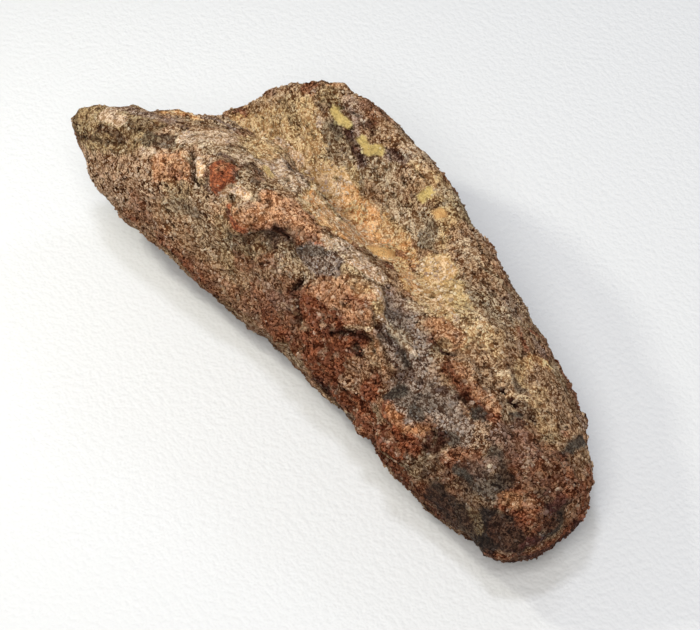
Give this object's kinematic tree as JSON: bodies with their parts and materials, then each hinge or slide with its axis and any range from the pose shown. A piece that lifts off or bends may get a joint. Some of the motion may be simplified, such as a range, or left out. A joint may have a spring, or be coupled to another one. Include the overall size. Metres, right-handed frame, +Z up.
{
  "type": "fossil spinosaurus tooth",
  "caption": "Worn fossil tooth lying on its side: a blunt crown tip, a broken root with an open pulp valley, and a skin of sandstone grains and rusty crust.",
  "frame": {"origin": "on the surface the tooth rests on, under the middle of its bounding box", "axes": "+X along the tooth, from the broken root to the worn tip; +Y across it, from the ridge wall to the lobe wall; +Z up"},
  "size_m": [0.0854, 0.0362, 0.0267],
  "materials": {
    "fossil_stone": "rough"
  },
  "bodies": {
    "root": {"fossil_tooth": "fossil_stone"}
  },
  "joints": []
}
